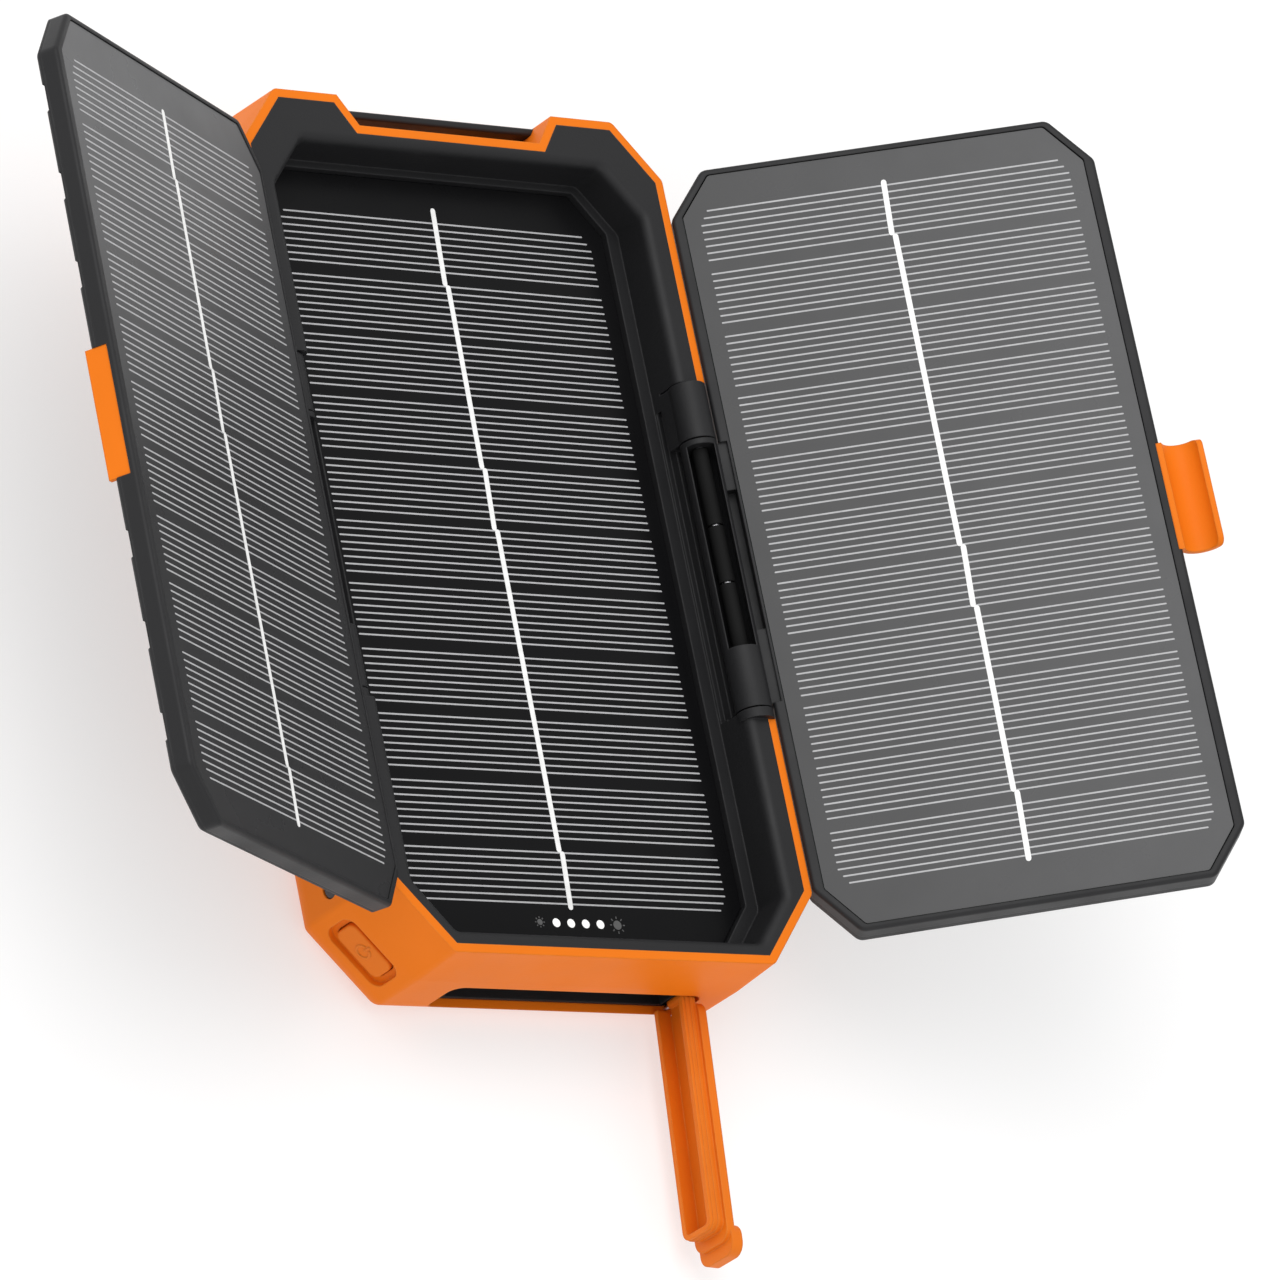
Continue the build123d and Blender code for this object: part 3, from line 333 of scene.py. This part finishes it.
def strip_starts():
    """First finger of each strip, as y below the first strip's first finger."""
    starts, y = [], 0.0
    for gap in (*GAPS, 0.0):
        starts.append(y)
        y += (FINGERS - 1 + gap) * PITCH
    return starts


def save(built, name, place, material, body):
    bmesh.ops.recalc_face_normals(built, faces=built.faces)
    mesh = bpy.data.meshes.new(name)
    built.to_mesh(mesh)
    built.free()
    mesh.transform(place)
    return new_piece(name, mesh, material, body)


def printed_lines(name, place, body, way, overrun=BUSBAR_OVERRUN):
    """Fingers and busbar of one panel; way is the side of the middle that the first strip lies on."""
    starts = strip_starts()
    half = (starts[-1] + (FINGERS - 1) * PITCH) / 2
    fingers = bmesh.new()
    for strip, start in enumerate(starts):
        for k in range(FINGERS):
            row = strip * FINGERS + k
            from_edge = min(row, len(starts) * FINGERS - 1 - row)
            indent = FINGER_INDENT[from_edge] if from_edge < len(FINGER_INDENT) else 0.0
            y = way * (half - start - k * PITCH)
            prism(fingers, rounded_bar(indent - FINGER_HALF, FINGER_HALF - indent, y, FINGER_WIDTH),
                  0.0, PRINT_HEIGHT)
    save(fingers, name + "_fingers", place, FINGER_SILVER, body)
    busbar = bmesh.new()
    for i, (first, last) in enumerate(BUSBAR_PIECES):
        top = half - starts[first] + (overrun if i == 0 else BUSBAR_OVERLAP)
        end = half - starts[last] - (FINGERS - 1) * PITCH
        end -= BUSBAR_OVERRUN if i == len(BUSBAR_PIECES) - 1 else GAPS[last] * PITCH
        slope = 2 * BUSBAR_LEAN / (top - end)
        middle = (top + end) / 2
        bar = rounded_bar(end - middle, top - middle, 0.0, BUSBAR_WIDTH)
        outline = [(way * (slope * t - side), way * (middle + t)) for t, side in bar]
        prism(busbar, outline, 0.0, 2 * PRINT_HEIGHT + BUSBAR_STEP * i)
    save(busbar, name + "_busbar", place, BUSBAR_SILVER, body)


RIGHT_AXES = wing_axes("right_wing_hinge", 1)
LEFT_AXES = wing_axes("left_wing_hinge", -1)
FLAT_AXES = (Vector((1, 0, 0)), Vector((0, 0, 1)))
centre_place = panel_matrix("centre_panel_cells", "centre_panel_cover", *FLAT_AXES)
right_place = panel_matrix("right_wing_cells", "right_wing_cover", *RIGHT_AXES)
left_place = panel_matrix("left_wing_cells", "left_wing_cover", *LEFT_AXES)
printed_lines("centre_panel", centre_place, "case", 1, CENTRE_OVERRUN)
printed_lines("right_wing", right_place, "right_wing", -1)
printed_lines("left_wing", left_place, "left_wing", -1)


def sun_icons():
    """Small suns at each end of the row of charge lights."""
    low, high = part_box("charge_leds")
    y = (low.y + high.y) / 2 / MM
    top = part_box("centre_panel_cover")[1].z / MM
    icons = bmesh.new()
    for x, radius in SUN_ICONS:
        disc = [(x + radius * math.cos(a), y + radius * math.sin(a))
                for a in (2 * math.pi * k / SUN_SIDES for k in range(SUN_SIDES))]
        prism(icons, disc, top, top + PRINT_HEIGHT)
        for k in range(SUN_RAYS):
            a = 2 * math.pi * k / SUN_RAYS
            ray = Vector((math.cos(a), math.sin(a)))
            side = Vector((-math.sin(a), math.cos(a))) * RAY_HALF_WIDTH
            near, far = ray * radius * RAY_SPAN[0], ray * radius * RAY_SPAN[1]
            corners = (near - side, far - side, far + side, near + side)
            prism(icons, [(x + p.x, y + p.y) for p in corners], top, top + PRINT_HEIGHT)
    save(icons, "sun_icons", Matrix.Identity(4), ICON_INK, "case")


sun_icons()


# ---- floor, light and camera ----------------------------------------------------
def floor():
    mesh = bpy.data.meshes.new("floor")
    half = FLOOR_HALF
    corners = [(-half, -half, 0), (half, -half, 0), (half, half, 0), (-half, half, 0)]
    mesh.from_pydata(corners, [], [(0, 1, 2, 3)])
    g = Graph("floor_paper")
    g.join(g.mix(g.spread(g.noise(3.0), 0.0, 1.0), *FLOOR_TONES), g.shader.inputs["Base Color"])
    g.shader.inputs["Roughness"].default_value = 0.9
    g.shader.inputs["Emission Color"].default_value = (1.0, 1.0, 1.0, 1.0)
    g.shader.inputs["Emission Strength"].default_value = FLOOR_GLOW
    mesh.materials.append(g.material)
    sheet = bpy.data.objects.new("floor", mesh)
    sheet.location.z = cad_box[0][2] - FLOOR_DROP
    bpy.context.scene.collection.objects.link(sheet)


def softbox(name, direction, distance, size, power):
    """Square area light that faces the object."""
    light = bpy.data.lights.new(name, "AREA")
    light.size = size
    light.energy = power
    lamp = bpy.data.objects.new(name, light)
    direction = Vector(direction).normalized()
    lamp.location = AIM + direction * distance
    lamp.rotation_euler = direction.to_track_quat("Z", "Y").to_euler()
    bpy.context.scene.collection.objects.link(lamp)


def studio():
    world = bpy.data.worlds.new("studio")
    world.use_nodes = True
    world.node_tree.nodes["Background"].inputs["Color"].default_value = (1, 1, 1, 1)
    world.node_tree.nodes["Background"].inputs["Strength"].default_value = WORLD_LIGHT
    bpy.context.scene.world = world
    bpy.context.scene.view_settings.view_transform = "Standard"
    softbox("key", *KEY_LIGHT)
    softbox("front", *FRONT_LIGHT)


def camera():
    right = CAMERA_FORWARD.cross(CAMERA_UP).normalized()
    rotation = Matrix((right, CAMERA_UP, -CAMERA_FORWARD)).transposed().to_4x4()
    data = bpy.data.cameras.new("camera")
    data.lens = LENS
    data.sensor_width = SENSOR
    data.clip_start = CLIP_START
    view = bpy.data.objects.new("camera", data)
    view.matrix_world = Matrix.Translation(AIM - CAMERA_FORWARD * CAMERA_DISTANCE) @ rotation
    bpy.context.scene.collection.objects.link(view)
    bpy.context.scene.camera = view


floor()
studio()
camera()

bpy.context.view_layer.update()
